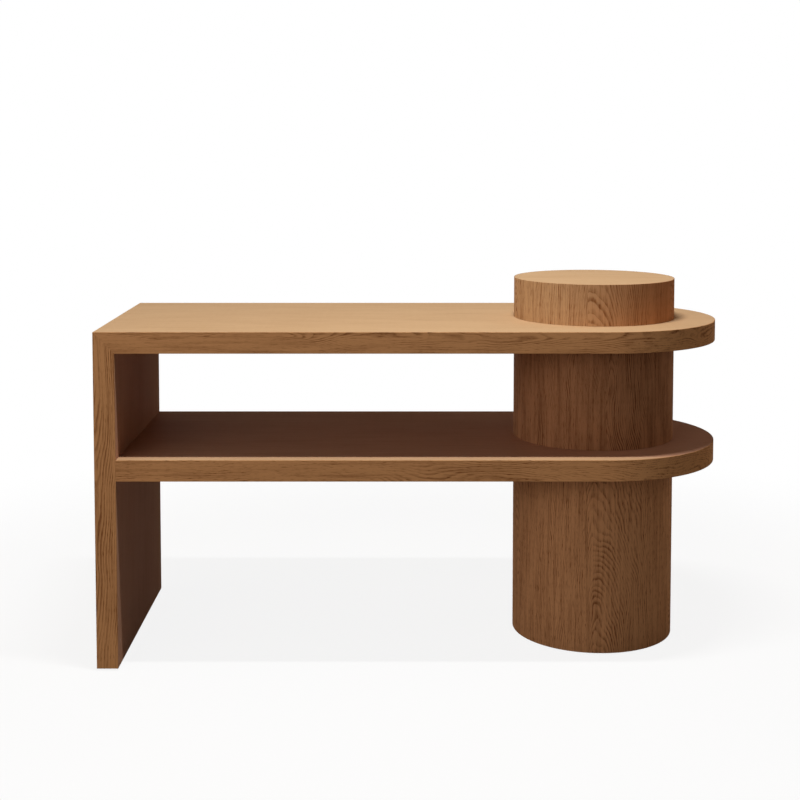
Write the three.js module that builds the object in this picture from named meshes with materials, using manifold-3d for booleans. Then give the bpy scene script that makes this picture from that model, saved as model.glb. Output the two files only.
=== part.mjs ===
// A display table: a round-nosed top and shelf, both hollow-core boards edged in oak, mitred or butted
// to a gable at the left and threaded on a stack of three veneered drums at the right.
// Millimetres, +Z up, the front towards -Y, the origin on the floor under the middle of the table.

import * as THREE from "three";
import { mergeVertices } from "three/addons/utils/BufferGeometryUtils.js";
import Module from "manifold-3d";

// Overall sizes
const tableLength = 1500;
const tableDepth = 600;
const topHeight = 800; // floor to the upper face of the top
const shelfHeight = 500; // floor to the upper face of the shelf
const boardThickness = 50; // top, shelf and gable alike
const drumDiameter = 400;
const drumRise = 100; // the upper drum above the top

// Boards: two skins on a latticed core, with a thin band round the edges
const skinThickness = 9;
const bandThickness = 1.5;
const sideRail = 40; // solid core along a board's long edges
const innerRail = 40; // solid core where the lattice meets the nose former
const cornerRail = 60; // solid core past the mitre
const fixingRail = 70; // solid core of the shelf that takes the cams and dowels
const bottomRail = 60; // solid core of the gable that takes the feet
const shelfRail = 100; // solid core of the gable behind the shelf's end
const ribWidth = 18;
const widestBay = 145;
const formerMargin = 60; // nose former past the drum, towards the lattice
const formerEyeRadius = 70; // lightening hole on the drum's axis
const formerHoleRadius = 45; // lightening holes between the tie rods

// Drums: a bent shell on discs, with a veneer wrap
const wrapThickness = 1;
const shellThickness = 8;
const discThickness = 18;
const baseThickness = 25; // the lower drum's base, which takes feet

// Tie rods through the drums, top and shelf
const rodCount = 3;
const rodInset = 50; // the drum's face to a rod's axis
const rodDiameter = 10;
const rodPlay = 0.5; // rod to its hole, all round
const teeFlangeDiameter = 26;
const teeFlangeThickness = 1.5;
const teeBarrelWall = 1.2;
const teeBarrelLength = 14;
const nutWidth = 17; // across the flats
const nutHeight = 9;
const nutFlangeDiameter = 22;
const nutFlangeThickness = 2;
const rodTail = 4; // rod that stands out of its nut

// Shelf to gable: cams on bolts, and dowels
const camDiameter = 15;
const camRoof = 1.7; // over the bolt's head
const camSetback = 34; // the shelf's end to the cam's axis
const camInset = 120; // the board's edge to the cam's axis
const camSlotLength = 10;
const camSlotWidth = 1.6;
const camSlotDepth = 1.5;
const boltDiameter = 6;
const boltHeadDiameter = 8;
const boltHeadLength = 3;
const boltGrip = 29; // thread in the gable
const boltRise = 14; // the shelf's underside to the bolt's axis
const dowelDiameter = 10;
const dowelReach = 35; // into the shelf
const dowelCover = 6; // core between the dowel and the gable's outer skin
const dowelInset = 70; // the board's edge to the dowel's axis

// Mitre tongue
const tongueThickness = 6;
const tongueWidth = 24;
const tongueSetback = 20; // each end of the tongue from the edge of the core

// Levelling feet
const gableFootInset = 60; // the gable's edge to the foot's axis
const drumFootCount = 3;
const drumFootInset = 50; // the drum's face to the foot's axis
const padDiameter = 32;
const padFloor = 1.5; // under the stem's button
const padLip = 1; // over the stem's button
const padGap = 0.5; // the pad, screwed right in, to what it stands under
const padChamfer = 1.2;
const stemDiameter = 8;
const stemButtonDiameter = 12;
const stemButtonHeight = 1.7;
const stemLength = 43;
const stemChamfer = 0.8;
const insertFlangeDiameter = 20;
const insertFlangeThickness = 1.5;
const insertBarrelDiameter = 12;
const insertLength = 19;

// Fits
const glueLine = 0.1; // between flat faces
const curveFit = 0.3; // between round or slanting faces
const mitreGap = 0.3;
const pocketOverrun = 3; // a blind hole past the end of what goes in
const cutOverrun = 5; // a cutter past the face it cuts
const mergeDistance = 1e-4; // vertices nearer than this are one

// Facets of a full turn
const drumFacets = 60;
const hardwareFacets = 12;
const footFacets = 12;

const padHeight = padFloor + stemButtonHeight + curveFit + padLip;
const footClearance = padHeight + padGap; // floor to the underside of the gable and the lower drum
const halfDepth = tableDepth / 2;
const leftEnd = -tableLength / 2;
const drumRadius = drumDiameter / 2;
const drumAxis = tableLength / 2 - halfDepth; // the nose and the drums share this axis
const shelfStart = leftEnd + boardThickness + glueLine;
const boardInset = bandThickness + curveFit; // skins and core behind the band
const coreBottom = skinThickness;
const coreTop = boardThickness - skinThickness;
const formerStart = drumAxis - drumRadius - formerMargin;
const gableHeight = topHeight - footClearance;
const mitreSetback = mitreGap / Math.SQRT2; // half the gap, measured along x + z
const rodCircleRadius = drumRadius - rodInset;
const drumFootCircleRadius = drumRadius - drumFootInset;
const camSpread = halfDepth - camInset; // each side of the middle
const dowelSpread = halfDepth - dowelInset;
const gableFootSpread = halfDepth - gableFootInset;
const shellOuterRadius = drumRadius - wrapThickness - curveFit;
const shellInnerRadius = shellOuterRadius - shellThickness;
const discRadius = shellInnerRadius - curveFit;

const wasm = await Module();
wasm.setup();

const oak = new THREE.MeshStandardMaterial({ color: 0xc69a68, roughness: 0.55 });
const plyCore = new THREE.MeshStandardMaterial({ color: 0xd8bd92, roughness: 0.8 });
const beech = new THREE.MeshStandardMaterial({ color: 0xd2a679, roughness: 0.7 });
const steel = new THREE.MeshStandardMaterial({ color: 0xa9adb0, roughness: 0.35, metalness: 1 });
const nylon = new THREE.MeshStandardMaterial({ color: 0x26262a, roughness: 0.6 });

// Cuts and joins

function toSolid(geometry) {
  const bare = geometry.clone();
  bare.deleteAttribute("normal");
  bare.deleteAttribute("uv");
  const merged = mergeVertices(bare, mergeDistance);
  return new wasm.Manifold(
    new wasm.Mesh({
      numProp: 3,
      vertProperties: merged.attributes.position.array,
      triVerts: new Uint32Array(merged.index.array),
    }),
  );
}

function toGeometry(solid) {
  const { vertProperties, triVerts } = solid.getMesh();
  const geometry = new THREE.BufferGeometry();
  geometry.setAttribute("position", new THREE.BufferAttribute(vertProperties, 3));
  geometry.setIndex(new THREE.BufferAttribute(triVerts, 1));
  geometry.computeVertexNormals();
  return geometry;
}

function cut(geometry, cutters) {
  const left = cutters.reduce((solid, cutter) => solid.subtract(toSolid(cutter)), toSolid(geometry));
  return toGeometry(left);
}

function join(first, second) {
  return toGeometry(toSolid(first).add(toSolid(second)));
}

// Shapes and extrusions

function circlePoints(x, y, radius, facets) {
  return Array.from({ length: facets }, (_, i) => {
    const turn = (2 * Math.PI * i) / facets;
    return new THREE.Vector2(x + radius * Math.cos(turn), y + radius * Math.sin(turn));
  });
}

function polygon(...corners) {
  return new THREE.Shape(corners.map(([x, y]) => new THREE.Vector2(x, y)));
}

function extrude(shape, length) {
  // An arc is divided into twice as many chords as curveSegments says.
  const curveSegments = drumFacets / 4;
  return new THREE.ExtrudeGeometry(shape, { depth: length, bevelEnabled: false, curveSegments });
}

// Drawn in XY, raised from one height to another.
function extrudeUp(shape, from, to) {
  return extrude(shape, to - from).translate(0, 0, from);
}

// Drawn in XZ, run along Y.
function extrudeAcross(shape, from, to) {
  return extrude(shape, to - from).rotateX(Math.PI / 2).translate(0, to, 0);
}

// Drawn in YZ, run along X.
function extrudeAlong(shape, from, to) {
  const turn = new THREE.Matrix4().makeBasis(
    new THREE.Vector3(0, 1, 0),
    new THREE.Vector3(0, 0, 1),
    new THREE.Vector3(1, 0, 0),
  );
  return extrude(shape, to - from).applyMatrix4(turn).translate(from, 0, 0);
}

function block(x0, y0, z0, x1, y1, z1) {
  return new THREE.BoxGeometry(x1 - x0, y1 - y0, z1 - z0)
    .translate((x0 + x1) / 2, (y0 + y1) / 2, (z0 + z1) / 2);
}

// Turned about Z, from points of radius and height.
function turned(points, facets) {
  const profile = points.map(([radius, height]) => new THREE.Vector2(radius, height));
  return new THREE.LatheGeometry(profile, facets).rotateX(Math.PI / 2);
}

function cylinderUp(x, y, radius, from, to) {
  return extrudeUp(new THREE.Shape(circlePoints(x, y, radius, hardwareFacets)), from, to);
}

function cylinderAlong(y, z, radius, from, to) {
  return extrudeAlong(new THREE.Shape(circlePoints(y, z, radius, hardwareFacets)), from, to);
}

// Rectangular bays that fill a field, as [x0, y0, x1, y1], with a rib between each two.
function latticeBays(x0, y0, x1, y1) {
  const count = (length) => Math.ceil((length + ribWidth) / (widestBay + ribWidth));
  const columns = count(x1 - x0);
  const rows = count(y1 - y0);
  const width = (x1 - x0 + ribWidth) / columns;
  const height = (y1 - y0 + ribWidth) / rows;
  const bays = [];
  for (let column = 0; column < columns; column++) {
    for (let row = 0; row < rows; row++) {
      const x = x0 + column * width;
      const y = y0 + row * height;
      bays.push([x, y, x + width - ribWidth, y + height - ribWidth]);
    }
  }
  return bays;
}

function named(name, geometry, material) {
  const mesh = new THREE.Mesh(geometry, material);
  mesh.name = name;
  return mesh;
}

// Places round a vertical axis, the first at an angle in degrees from +X.
function aroundAxis(count, radius, firstAngle) {
  return Array.from({ length: count }, (_, i) => {
    const turn = THREE.MathUtils.degToRad(firstAngle) + (2 * Math.PI * i) / count;
    return { x: radius * Math.cos(turn), y: radius * Math.sin(turn) };
  });
}

const rodPlaces = aroundAxis(rodCount, rodCircleRadius, 0);
const drumFootPlaces = aroundAxis(drumFootCount, drumFootCircleRadius, 180);

function rodHoles(centreX, radius) {
  return rodPlaces.map(
    ({ x, y }) => new THREE.Path(circlePoints(centreX + x, y, radius, hardwareFacets)),
  );
}

const rodHoleRadius = rodDiameter / 2 + rodPlay;
const teeBarrelRadius = rodDiameter / 2 + curveFit + teeBarrelWall;
const teeHoleRadius = teeBarrelRadius + curveFit;

// Boards that end in a round nose, drawn from their underside up

function noseOutline(start, inset) {
  const half = halfDepth - inset;
  const shape = new THREE.Shape();
  shape.moveTo(start, -half);
  shape.lineTo(drumAxis, -half);
  shape.absarc(drumAxis, 0, half, -Math.PI / 2, Math.PI / 2, false);
  shape.lineTo(start, half);
  shape.closePath();
  return shape;
}

function bandOutline(start) {
  const inner = halfDepth - bandThickness;
  const shape = new THREE.Shape();
  shape.moveTo(start, -halfDepth);
  shape.lineTo(drumAxis, -halfDepth);
  shape.absarc(drumAxis, 0, halfDepth, -Math.PI / 2, Math.PI / 2, false);
  shape.lineTo(start, halfDepth);
  shape.lineTo(start, inner);
  shape.lineTo(drumAxis, inner);
  shape.absarc(drumAxis, 0, inner, Math.PI / 2, -Math.PI / 2, true);
  shape.lineTo(start, -inner);
  shape.closePath();
  return shape;
}

function skinOutline(start) {
  const shape = noseOutline(start, boardInset);
  shape.holes = rodHoles(drumAxis, rodHoleRadius);
  return shape;
}

// A flat lattice, solid as far as solidTo.
function coreFrame(start, solidTo) {
  const half = halfDepth - boardInset;
  const end = formerStart - glueLine;
  const bays = latticeBays(solidTo, -half + sideRail, end - innerRail, half - sideRail);
  return cut(
    block(start, -half, coreBottom, end, half, coreTop - glueLine),
    bays.map(([x0, y0, x1, y1]) => block(x0, y0, 0, x1, y1, boardThickness)),
  );
}

function formerOutline() {
  const shape = noseOutline(formerStart, boardInset);
  const between = aroundAxis(rodCount, rodCircleRadius, 180 / rodCount);
  const lightening = between.map(
    ({ x, y }) => new THREE.Path(circlePoints(drumAxis + x, y, formerHoleRadius, hardwareFacets)),
  );
  const eye = new THREE.Path(circlePoints(drumAxis, 0, formerEyeRadius, hardwareFacets));
  shape.holes = [eye, ...lightening, ...rodHoles(drumAxis, rodHoleRadius)];
  return shape;
}

// The core's lattice begins at solidTo; cuts holds each layer's cutters.
function makeBoard(name, start, solidTo, cuts) {
  const layers = {
    lower_skin: [extrudeUp(skinOutline(start), 0, coreBottom - glueLine), oak],
    core_frame: [coreFrame(start, solidTo), plyCore],
    nose_former: [extrudeUp(formerOutline(), coreBottom, coreTop - glueLine), plyCore],
    upper_skin: [extrudeUp(skinOutline(start), coreTop, boardThickness), oak],
    edge_band: [extrudeUp(bandOutline(start), 0, boardThickness), oak],
  };
  const board = new THREE.Group();
  for (const [layer, [geometry, material]] of Object.entries(layers)) {
    board.add(named(`${name}_${layer}`, cut(geometry, cuts[layer] ?? []), material));
  }
  return board;
}

// A slot for the tongue, centred on the origin.
function tongueSlot() {
  const length = 2 * (halfDepth - boardInset - tongueSetback) + 2 * curveFit;
  return new THREE.BoxGeometry(tongueWidth + 2 * curveFit, length, tongueThickness + 2 * curveFit)
    .rotateY(-Math.PI / 4);
}

function makeTop() {
  const below = -cutOverrun;
  const above = boardThickness + cutOverrun;
  const mitreLine = leftEnd + boardThickness + mitreSetback; // x + z on the cut
  const beyond = leftEnd - 2 * cutOverrun;
  const offcut = extrudeAcross(
    polygon([beyond, below], [mitreLine - below, below], [mitreLine - above, above], [beyond, above]),
    -halfDepth - cutOverrun,
    halfDepth + cutOverrun,
  );
  const slot = tongueSlot().translate(leftEnd + boardThickness / 2, 0, boardThickness / 2);
  const top = makeBoard("top", leftEnd, leftEnd + boardThickness + cornerRail, {
    lower_skin: [offcut],
    core_frame: [offcut, slot],
    upper_skin: [offcut],
    edge_band: [offcut],
  });
  top.position.z = topHeight - boardThickness;
  return top;
}

// Both sides of the middle, front first.
const frontAndRear = [
  ["front", -1],
  ["rear", 1],
];
const camAxis = shelfStart + camSetback;
const camLength = boltRise + boltHeadDiameter / 2 + curveFit + camRoof;
const dowelRise = boardThickness / 2;
const dowelStart = leftEnd + skinThickness + dowelCover;
const dowelLength = boardThickness - skinThickness - dowelCover + dowelReach;

function boltHole(side, from, to, base) {
  return cylinderAlong(side * camSpread, base + boltRise, boltDiameter / 2 + curveFit, from, to);
}

function dowelHole(side, from, to, base) {
  return cylinderAlong(side * dowelSpread, base + dowelRise, dowelDiameter / 2 + curveFit, from, to);
}

function makeShelf() {
  const camHole = (side) =>
    cylinderUp(camAxis, side * camSpread, camDiameter / 2 + curveFit, -cutOverrun, camLength + curveFit);
  const outside = shelfStart - cutOverrun;
  const dowelEnd = dowelStart + dowelLength + pocketOverrun;
  const camAndBoltHoles = frontAndRear.flatMap(([, side]) => [
    camHole(side),
    boltHole(side, outside, camAxis, 0),
  ]);
  const dowelHoles = frontAndRear.map(([, side]) => dowelHole(side, outside, dowelEnd, 0));
  const shelf = makeBoard("shelf", shelfStart, shelfStart + fixingRail, {
    lower_skin: camAndBoltHoles,
    core_frame: [...camAndBoltHoles, ...dowelHoles],
  });
  shelf.position.z = shelfHeight - boardThickness;
  return shelf;
}

// Levelling feet, each drawn about its own axis from the floor up

const stemBase = padFloor;
const stemTop = stemBase + stemLength;
const insertTop = footClearance + insertLength;
const gableFootX = boardThickness / 2;

// The hole that an insert and its stem need in what carries them.
function footPocket() {
  const flange = insertFlangeDiameter / 2 + curveFit;
  const barrel = insertBarrelDiameter / 2 + curveFit;
  const stem = stemDiameter / 2 + curveFit;
  const shoulder = footClearance + insertFlangeThickness + glueLine;
  const barrelEnd = insertTop + curveFit;
  const stemEnd = stemTop + pocketOverrun;
  return turned(
    [
      [0, footClearance - cutOverrun],
      [flange, footClearance - cutOverrun],
      [flange, shoulder],
      [barrel, shoulder],
      [barrel, barrelEnd],
      [stem, barrelEnd],
      [stem, stemEnd],
      [0, stemEnd],
    ],
    footFacets,
  );
}

function makeFoot(number, x, y) {
  const padRadius = padDiameter / 2;
  const mouth = stemDiameter / 2 + curveFit;
  const socket = stemButtonDiameter / 2 + curveFit;
  const pad = turned(
    [
      [0, 0],
      [padRadius - padChamfer, 0],
      [padRadius, padChamfer],
      [padRadius, padHeight - padChamfer],
      [padRadius - padChamfer, padHeight],
      [mouth, padHeight],
      [mouth, padHeight - padLip],
      [socket, padHeight - padLip],
      [socket, padFloor - glueLine],
      [0, padFloor - glueLine],
    ],
    footFacets,
  );
  const button = stemButtonDiameter / 2;
  const shank = stemDiameter / 2;
  const stem = turned(
    [
      [0, stemBase],
      [button, stemBase],
      [button, stemBase + stemButtonHeight],
      [shank, stemBase + stemButtonHeight],
      [shank, stemTop - stemChamfer],
      [shank - stemChamfer, stemTop],
      [0, stemTop],
    ],
    footFacets,
  );
  const bore = stemDiameter / 2 + curveFit;
  const barrel = insertBarrelDiameter / 2;
  const flange = insertFlangeDiameter / 2;
  const shoulder = footClearance + insertFlangeThickness;
  const insert = turned(
    [
      [bore, footClearance],
      [flange, footClearance],
      [flange, shoulder],
      [barrel, shoulder],
      [barrel, insertTop],
      [bore, insertTop],
      [bore, footClearance],
    ],
    footFacets,
  );
  const foot = new THREE.Group();
  foot.add(named(`foot_insert_${number}`, insert, steel));
  foot.add(named(`foot_stem_${number}`, stem, steel));
  foot.add(named(`foot_pad_${number}`, pad, nylon));
  foot.position.set(x, y, 0);
  return foot;
}

function makeFeet() {
  const feet = new THREE.Group();
  const places = [
    ...frontAndRear.map(([, side]) => ({ x: leftEnd + gableFootX, y: side * gableFootSpread })),
    ...drumFootPlaces.map(({ x, y }) => ({ x: drumAxis + x, y })),
  ];
  places.forEach(({ x, y }, i) => feet.add(makeFoot(i + 1, x, y)));
  return feet;
}

// The gable, drawn from its outer face inwards and from its underside up

function makeGable() {
  const half = halfDepth - boardInset;
  const foot = bandThickness + glueLine;
  const mitreLine = gableHeight - mitreSetback; // x + z on the cut
  const shelfBase = shelfHeight - boardThickness - footClearance;
  const shelfMiddle = shelfBase + boardThickness / 2;

  // A layer from one depth to another, cut off on the mitre.
  const mitred = (x0, x1, z0) => polygon([x0, z0], [x1, z0], [x1, mitreLine - x1], [x0, mitreLine - x0]);
  const offcut = extrudeAcross(
    polygon(
      [-cutOverrun, mitreLine + cutOverrun],
      [boardThickness + cutOverrun, mitreLine - boardThickness - cutOverrun],
      [boardThickness + cutOverrun, mitreLine + cutOverrun],
    ),
    -halfDepth - cutOverrun,
    halfDepth + cutOverrun,
  );
  const slot = tongueSlot().translate(boardThickness / 2, 0, gableHeight - boardThickness / 2);
  const footPockets = frontAndRear.map(([, side]) =>
    footPocket().translate(gableFootX, side * gableFootSpread, -footClearance),
  );
  const dowelDepth = skinThickness + dowelCover - pocketOverrun;
  const boltDepth = boardThickness - boltGrip - pocketOverrun;
  const fixingHoles = frontAndRear.flatMap(([, side]) => [
    boltHole(side, boltDepth, boardThickness + cutOverrun, shelfBase),
    dowelHole(side, dowelDepth, boardThickness + cutOverrun, shelfBase),
  ]);

  const bayTop = gableHeight - boardThickness - cornerRail;
  const bayHalf = half - sideRail;
  const bays = [
    ...latticeBays(-bayHalf, foot + bottomRail, bayHalf, shelfMiddle - shelfRail / 2),
    ...latticeBays(-bayHalf, shelfMiddle + shelfRail / 2, bayHalf, bayTop),
  ].map(([y0, z0, y1, z1]) => block(0, y0, z0, boardThickness, y1, z1));
  const core = block(coreBottom, -half, foot, coreTop - glueLine, half, mitreLine);
  const outerSkin = extrudeAcross(mitred(0, coreBottom - glueLine, foot), -half, half);
  const innerSkin = extrudeAcross(mitred(coreTop, boardThickness, foot), -half, half);
  const frontBand = extrudeAcross(mitred(0, boardThickness, 0), -halfDepth, -halfDepth + bandThickness);
  const rearBand = extrudeAcross(mitred(0, boardThickness, 0), halfDepth - bandThickness, halfDepth);
  const bottomBand = block(0, -half, 0, boardThickness, half, bandThickness);

  const gable = new THREE.Group();
  gable.add(named("gable_outer_skin", outerSkin, oak));
  const coreCuts = [...bays, offcut, slot, ...footPockets, ...fixingHoles];
  gable.add(named("gable_core_frame", cut(core, coreCuts), plyCore));
  gable.add(named("gable_inner_skin", cut(innerSkin, fixingHoles), oak));
  gable.add(named("gable_front_band", frontBand, oak));
  gable.add(named("gable_rear_band", rearBand, oak));
  gable.add(named("gable_bottom_band", cut(bottomBand, footPockets), oak));
  gable.position.set(leftEnd, 0, footClearance);
  return gable;
}

function makeTongue() {
  const length = 2 * (halfDepth - boardInset - tongueSetback);
  const tongue = named(
    "mitre_tongue",
    new THREE.BoxGeometry(tongueWidth, length, tongueThickness),
    beech,
  );
  tongue.position.set(leftEnd + boardThickness / 2, 0, topHeight - boardThickness / 2);
  tongue.rotation.y = -Math.PI / 4;
  return tongue;
}

function makeShelfFixings() {
  const fixings = new THREE.Group();
  const head = boltHeadDiameter / 2;
  const shank = boltDiameter / 2;
  const boltStart = -camSetback - glueLine - boltGrip;
  for (const [place, side] of frontAndRear) {
    const bore = cylinderAlong(0, boltRise, head + curveFit, -camDiameter, boltHeadLength);
    const slot = new THREE.BoxGeometry(camSlotLength, camSlotWidth, 2 * camSlotDepth);
    const cam = cut(cylinderUp(0, 0, camDiameter / 2, 0, camLength), [bore, slot]);
    const bolt = turned(
      [
        [0, boltStart],
        [shank, boltStart],
        [shank, -boltHeadLength / 2],
        [head, -boltHeadLength / 2],
        [head, boltHeadLength / 2],
        [0, boltHeadLength / 2],
      ],
      hardwareFacets,
    ).rotateY(Math.PI / 2).translate(0, 0, boltRise);
    const dowel = cylinderAlong(side * dowelSpread, dowelRise, dowelDiameter / 2, 0, dowelLength);
    const camMesh = named(`shelf_cam_${place}`, cam, steel);
    const boltMesh = named(`shelf_cam_bolt_${place}`, bolt, steel);
    const dowelMesh = named(`shelf_dowel_${place}`, dowel, beech);
    camMesh.position.set(camAxis, side * camSpread, 0);
    boltMesh.position.copy(camMesh.position);
    dowelMesh.position.x = dowelStart;
    fixings.add(camMesh, boltMesh, dowelMesh);
  }
  fixings.position.z = shelfHeight - boardThickness;
  return fixings;
}

// Drums, each drawn about its own axis from its underside up

function disc(radius, from, to, holes = []) {
  const shape = new THREE.Shape(circlePoints(0, 0, radius, drumFacets));
  shape.holes = holes;
  return extrudeUp(shape, from, to);
}

function tube(outer, inner, from, to) {
  return disc(outer, from, to, [new THREE.Path(circlePoints(0, 0, inner, drumFacets))]);
}

function makeDrum(name, bottom, top, shellTop, closers) {
  const drum = new THREE.Group();
  const height = top - bottom;
  const wrapInner = drumRadius - wrapThickness;
  drum.add(named(`${name}_drum_wrap`, tube(drumRadius, wrapInner, 0, height), oak));
  drum.add(named(`${name}_drum_shell`, tube(shellOuterRadius, shellInnerRadius, 0, shellTop), plyCore));
  for (const [closer, geometry, material] of closers) {
    drum.add(named(`${name}_drum_${closer}`, geometry, material));
  }
  drum.position.set(drumAxis, 0, bottom);
  return drum;
}

function makeDrums() {
  const lowerTop = shelfHeight - boardThickness - glueLine;
  const middleBottom = shelfHeight + glueLine;
  const middleTop = topHeight - boardThickness - glueLine;
  const upperBottom = topHeight + glueLine;
  const upperTop = topHeight + drumRise;
  const lowerHeight = lowerTop - footClearance;
  const middleHeight = middleTop - middleBottom;
  const upperHeight = upperTop - upperBottom;
  const lidSeat = upperHeight - discThickness;

  const pockets = drumFootPlaces.map(({ x, y }) => footPocket().translate(x, y, -footClearance));
  const base = cut(disc(discRadius, 0, baseThickness), pockets);
  const teeDisc = disc(discRadius, lowerHeight - discThickness, lowerHeight, rodHoles(0, teeHoleRadius));
  const lowDisc = disc(discRadius, 0, discThickness, rodHoles(0, rodHoleRadius));
  const highDisc = disc(
    discRadius,
    middleHeight - discThickness,
    middleHeight,
    rodHoles(0, rodHoleRadius),
  );
  const lid = disc(shellOuterRadius, lidSeat, upperHeight);

  const drums = new THREE.Group();
  drums.add(makeDrum("lower", footClearance, lowerTop, lowerHeight, [
    ["base_disc", base, plyCore],
    ["top_disc", teeDisc, plyCore],
  ]));
  drums.add(makeDrum("middle", middleBottom, middleTop, middleHeight, [
    ["base_disc", lowDisc, plyCore],
    ["top_disc", highDisc, plyCore],
  ]));
  drums.add(makeDrum("upper", upperBottom, upperTop, lidSeat - glueLine, [
    ["base_disc", lowDisc.clone(), plyCore],
    ["lid", lid, oak],
  ]));
  return drums;
}

// Rods that draw the drums, shelf and top together: a tee nut under the lower drum's top disc and a
// flanged nut on the upper drum's base disc, which is reached with the lid off.
function makeTieRods() {
  const rods = new THREE.Group();
  const teeSeat = shelfHeight - boardThickness - glueLine - discThickness; // the disc's underside
  const nutSeat = topHeight + 2 * glueLine + discThickness; // on the upper drum's base disc
  const rodStart = teeSeat - teeFlangeThickness;
  const rodEnd = nutSeat + nutHeight + rodTail;
  const bore = rodDiameter / 2 + curveFit;
  const teeFlange = teeFlangeDiameter / 2;

  rodPlaces.forEach(({ x, y }, i) => {
    const flangeTop = -glueLine;
    const flangeBottom = flangeTop - teeFlangeThickness;
    const teeNut = turned(
      [
        [bore, flangeBottom],
        [teeFlange, flangeBottom],
        [teeFlange, flangeTop],
        [teeBarrelRadius, flangeTop],
        [teeBarrelRadius, teeBarrelLength],
        [bore, teeBarrelLength],
        [bore, flangeBottom],
      ],
      hardwareFacets,
    );
    const hexagon = new THREE.Shape(circlePoints(0, 0, nutWidth / Math.sqrt(3), 6));
    hexagon.holes = [new THREE.Path(circlePoints(0, 0, bore, hardwareFacets))];
    const washer = new THREE.Shape(circlePoints(0, 0, nutFlangeDiameter / 2, hardwareFacets));
    washer.holes = [new THREE.Path(circlePoints(0, 0, bore, hardwareFacets))];
    const nut = join(extrudeUp(washer, 0, nutFlangeThickness), extrudeUp(hexagon, 0, nutHeight));
    const rod = cylinderUp(0, 0, rodDiameter / 2, rodStart, rodEnd);

    const rodMesh = named(`tie_rod_${i + 1}`, rod, steel);
    const teeMesh = named(`tie_rod_tee_nut_${i + 1}`, teeNut, steel);
    const nutMesh = named(`tie_rod_flange_nut_${i + 1}`, nut, steel);
    teeMesh.position.z = teeSeat;
    nutMesh.position.z = nutSeat;
    const set = new THREE.Group();
    set.add(rodMesh, teeMesh, nutMesh);
    set.position.set(drumAxis + x, y, 0);
    rods.add(set);
  });
  return rods;
}

const table = new THREE.Group();
table.name = "display_table";
table.add(makeTop());
table.add(makeShelf());
table.add(makeGable());
table.add(makeTongue());
table.add(makeShelfFixings());
table.add(makeDrums());
table.add(makeTieRods());
table.add(makeFeet());

export default table;
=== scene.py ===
import math
import bmesh
import bpy
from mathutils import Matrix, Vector


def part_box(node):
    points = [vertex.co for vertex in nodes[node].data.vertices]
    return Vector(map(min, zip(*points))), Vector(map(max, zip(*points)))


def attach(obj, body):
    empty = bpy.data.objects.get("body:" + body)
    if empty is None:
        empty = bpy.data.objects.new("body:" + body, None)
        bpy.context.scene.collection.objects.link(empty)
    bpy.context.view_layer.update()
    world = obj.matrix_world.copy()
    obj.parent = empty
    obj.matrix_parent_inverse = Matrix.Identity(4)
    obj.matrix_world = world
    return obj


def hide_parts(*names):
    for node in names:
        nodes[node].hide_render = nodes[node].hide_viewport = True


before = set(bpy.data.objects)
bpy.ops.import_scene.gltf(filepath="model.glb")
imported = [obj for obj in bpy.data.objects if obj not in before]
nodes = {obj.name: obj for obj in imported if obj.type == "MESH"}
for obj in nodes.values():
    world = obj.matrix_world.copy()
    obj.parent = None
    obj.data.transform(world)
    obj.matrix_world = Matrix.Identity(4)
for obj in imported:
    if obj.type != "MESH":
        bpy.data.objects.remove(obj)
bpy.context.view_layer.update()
scene = bpy.context.scene
bpy.ops.object.select_all(action="DESELECT")
mm = 0.001
print("frame loaded:", len(nodes), "nodes")


# small helpers for node trees

def addNode(tree, kind, inputs, **settings):
    node = tree.nodes.new(kind)
    for name, value in settings.items():
        setattr(node, name, value)
    for name, value in inputs.items():
        if isinstance(value, bpy.types.NodeSocket):
            tree.links.new(value, node.inputs[name])
        else:
            node.inputs[name].default_value = value
    return node


def mathNode(tree, operation, first, second=0.0, third=0.0):
    node = addNode(tree, "ShaderNodeMath", {0: first, 1: second, 2: third}, operation=operation)
    return node.outputs[0]


def smoothStep(tree, value, low, high):
    node = addNode(tree, "ShaderNodeMapRange", {
        "Value": value, "From Min": low, "From Max": high,
    }, interpolation_type="SMOOTHSTEP")
    return node.outputs["Result"]


def mixColours(tree, share, first, second):
    node = addNode(tree, "ShaderNodeMix", {"Factor": share, 6: first, 7: second}, data_type="RGBA")
    return node.outputs[2]


def luckyNumber(tree, number):
    node = addNode(tree, "ShaderNodeTexWhiteNoise", {"W": number}, noise_dimensions="1D")
    return node.outputs["Value"]


def pieceCoords(tree):
    return tree.nodes.new("ShaderNodeTexCoord").outputs["Object"]


def split(tree, vector):
    return addNode(tree, "ShaderNodeSeparateXYZ", {0: vector}).outputs


def newMaterial(name):
    material = bpy.data.materials.new(name)
    material.use_nodes = True
    tree = material.node_tree
    return material, tree, tree.nodes["Principled BSDF"].inputs


def newGroup(name, inputs, outputs):
    group = bpy.data.node_groups.new(name, "ShaderNodeTree")
    for socket, (kind, start) in inputs.items():
        made = group.interface.new_socket(socket, in_out="INPUT", socket_type="NodeSocket" + kind)
        if start is not None:
            made.default_value = start
    for socket, kind in outputs.items():
        group.interface.new_socket(socket, in_out="OUTPUT", socket_type="NodeSocket" + kind)
    return group, group.nodes.new("NodeGroupInput").outputs, group.nodes.new("NodeGroupOutput").inputs


def placeGroup(tree, inner):
    node = tree.nodes.new("ShaderNodeGroup")
    node.node_tree = inner
    return node


# camera and studio

cameraSetup = {
    "place": (-0.0383, -3.5226, 1.2373),
    "tiltDown": 0.0635,  # radians below level
    "lens": 63.15,
    "shiftUp": -0.21,  # the horizon lies above the middle of the picture
}

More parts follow.
